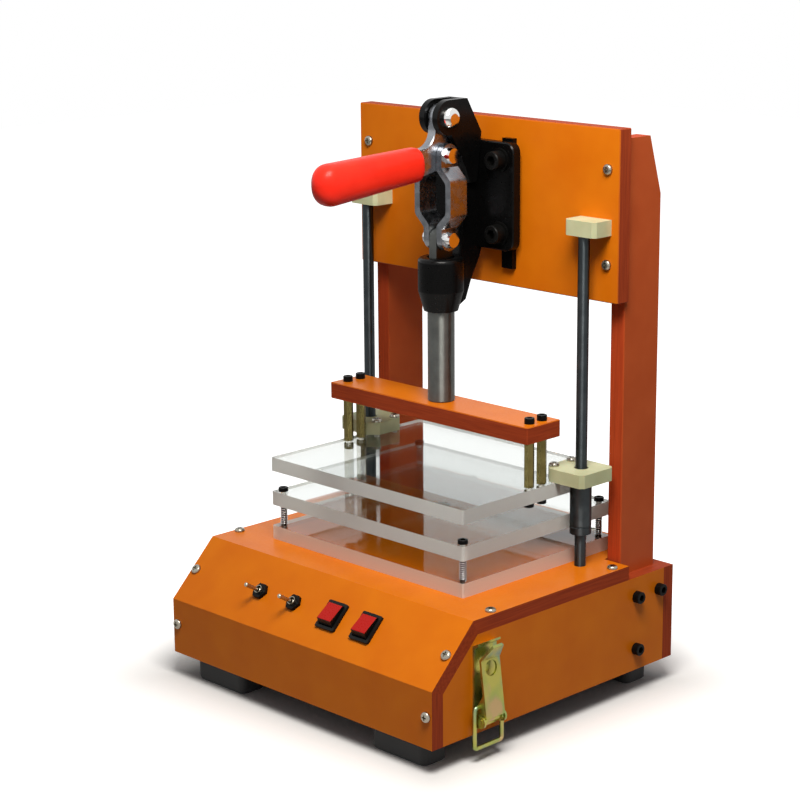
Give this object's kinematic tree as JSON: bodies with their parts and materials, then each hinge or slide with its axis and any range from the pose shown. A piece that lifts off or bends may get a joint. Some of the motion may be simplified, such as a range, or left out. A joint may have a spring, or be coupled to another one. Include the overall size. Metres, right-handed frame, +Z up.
{
  "type": "pcb test fixture",
  "caption": "Bench test fixture for circuit boards: toggle clamp on a tower presses clear plates over a sloped control box.",
  "frame": {"origin": "middle of the footprint, on the table under the rubber feet", "axes": "+X to the right when the sloped panel is faced, +Y to the back, +Z up"},
  "size_m": [0.2864, 0.2468, 0.4119],
  "materials": {
    "orange_panel": "satin",
    "clear_acrylic": "polished",
    "chrome_plate": "polished",
    "ground_steel": "polished",
    "zinc_screws": "satin",
    "black_screws": "satin",
    "black_clamp": "gloss",
    "red_vinyl": "gloss",
    "red_switch": "gloss",
    "black_plastic": "matte",
    "cream_plastic": "matte",
    "brass_standoff": "satin",
    "yellow_zinc": "satin",
    "black_rubber": "matte",
    "spring_wire": "polished"
  },
  "bodies": {
    "base": {"left_side_panel": "orange_panel", "right_side_panel": "orange_panel", "front_panel": "orange_panel", "slope_panel": "orange_panel", "top_plate": "orange_panel", "back_panel": "orange_panel", "left_upright": "orange_panel", "right_upright": "orange_panel", "beam_plate": "orange_panel", "probe_plate": "clear_acrylic", "lever_pin": "chrome_plate", "guide_rods": "ground_steel", "panel_screws": "zinc_screws", "beam_screws": "zinc_screws", "rod_block_screws": "zinc_screws", "foot_screws": "zinc_screws", "upright_bolts": "black_screws", "carrier_guide_screws": "black_screws", "clamp_bolts": "black_screws", "clamp_washers": "black_screws", "clamp_nuts": "black_screws", "toggle_nuts": "black_screws", "clamp_body": "black_clamp", "clamp_spacers": "black_clamp", "bottom_plate": "black_plastic", "rocker_housings": "black_plastic", "toggle_bodies": "black_plastic", "rod_blocks": "cream_plastic", "latch_bases": "yellow_zinc", "latch_rivets": "yellow_zinc", "rubber_feet": "black_rubber", "carrier_springs": "spring_wire"},
    "carrier": {"carrier_plate": "clear_acrylic"},
    "ram": {"press_plate": "clear_acrylic", "cross_bar": "orange_panel", "standoffs": "brass_standoff", "bar_bolts": "black_screws", "press_plate_bolts": "black_screws", "bearing_blocks": "cream_plastic", "bearing_block_screws": "zinc_screws", "linear_bearings": "ground_steel", "clamp_plunger": "ground_steel", "plunger_screw": "black_screws"},
    "handle": {"clamp_lever": "chrome_plate", "handle_grip": "red_vinyl", "link_pin": "chrome_plate"},
    "links": {"left_link": "chrome_plate", "right_link": "chrome_plate", "link_rivets": "chrome_plate"},
    "toggle_left": {"toggle_lever_left": "zinc_screws"},
    "toggle_right": {"toggle_lever_right": "zinc_screws"},
    "rocker_left": {"rocker_left": "red_switch"},
    "rocker_right": {"rocker_right": "red_switch"},
    "left_latch": {"left_latch_lever": "yellow_zinc"},
    "right_latch": {"right_latch_lever": "yellow_zinc"},
    "left_bail": {"left_latch_bail": "yellow_zinc"},
    "right_bail": {"right_latch_bail": "yellow_zinc"}
  },
  "joints": [
    {"name": "clamp_handle", "type": "hinge", "parent": "base", "child": "handle", "pos_m": [0, 0.021, 0.3999], "axis": [-1, 0, 0], "range_deg": [0, 90]},
    {"name": "clamp_links", "type": "hinge", "parent": "handle", "child": "links", "pos_m": [0, 0.021, 0.3743], "axis": [-1, 0, 0], "range_deg": [-116.4, 0]},
    {"name": "ram_slide", "type": "slide", "parent": "base", "child": "ram", "axis": [0, 0, 1], "range_m": [0, 0.0317]},
    {"name": "carrier_spring_travel", "type": "slide", "parent": "base", "child": "carrier", "axis": [0, 0, -1], "range_m": [0, 0.008], "stiffness_N_per_m": 3200, "springref_m": -0.003, "deforming": ["carrier_springs"]},
    {"name": "toggle_left_throw", "type": "hinge", "parent": "base", "child": "toggle_left", "pos_m": [-0.0545, -0.10389, 0.07816], "axis": [-1, 0, 0], "range_deg": [0, 28]},
    {"name": "toggle_right_throw", "type": "hinge", "parent": "base", "child": "toggle_right", "pos_m": [-0.02, -0.10389, 0.07816], "axis": [-1, 0, 0], "range_deg": [0, 28]},
    {"name": "rocker_left_throw", "type": "hinge", "parent": "base", "child": "rocker_left", "pos_m": [0.0185, -0.10226, 0.07653], "axis": [1, 0, 0], "range_deg": [0, 20]},
    {"name": "rocker_right_throw", "type": "hinge", "parent": "base", "child": "rocker_right", "pos_m": [0.0515, -0.10226, 0.07653], "axis": [1, 0, 0], "range_deg": [0, 20]},
    {"name": "left_latch_open", "type": "hinge", "parent": "base", "child": "left_latch", "pos_m": [-0.137, -0.0732, 0.029], "axis": [0, -1, 0], "range_deg": [0, 90]},
    {"name": "left_bail_swing", "type": "hinge", "parent": "left_latch", "child": "left_bail", "pos_m": [-0.134, -0.0732, 0.0385], "axis": [0, -1, 0], "range_deg": [-135.5, 0]},
    {"name": "right_latch_open", "type": "hinge", "parent": "base", "child": "right_latch", "pos_m": [0.137, -0.0732, 0.029], "axis": [0, 1, 0], "range_deg": [0, 90]},
    {"name": "right_bail_swing", "type": "hinge", "parent": "right_latch", "child": "right_bail", "pos_m": [0.134, -0.0732, 0.0385], "axis": [0, 1, 0], "range_deg": [-135.5, 0]}
  ],
  "couplings": [
    {"joint": "clamp_links", "follows": "clamp_handle", "ratio": -1.291},
    {"joint": "ram_slide", "follows": "clamp_handle", "m_per_rad": 0.020085},
    {"joint": "left_bail_swing", "follows": "left_latch_open", "ratio": -1.5},
    {"joint": "right_bail_swing", "follows": "right_latch_open", "ratio": -1.5}
  ]
}
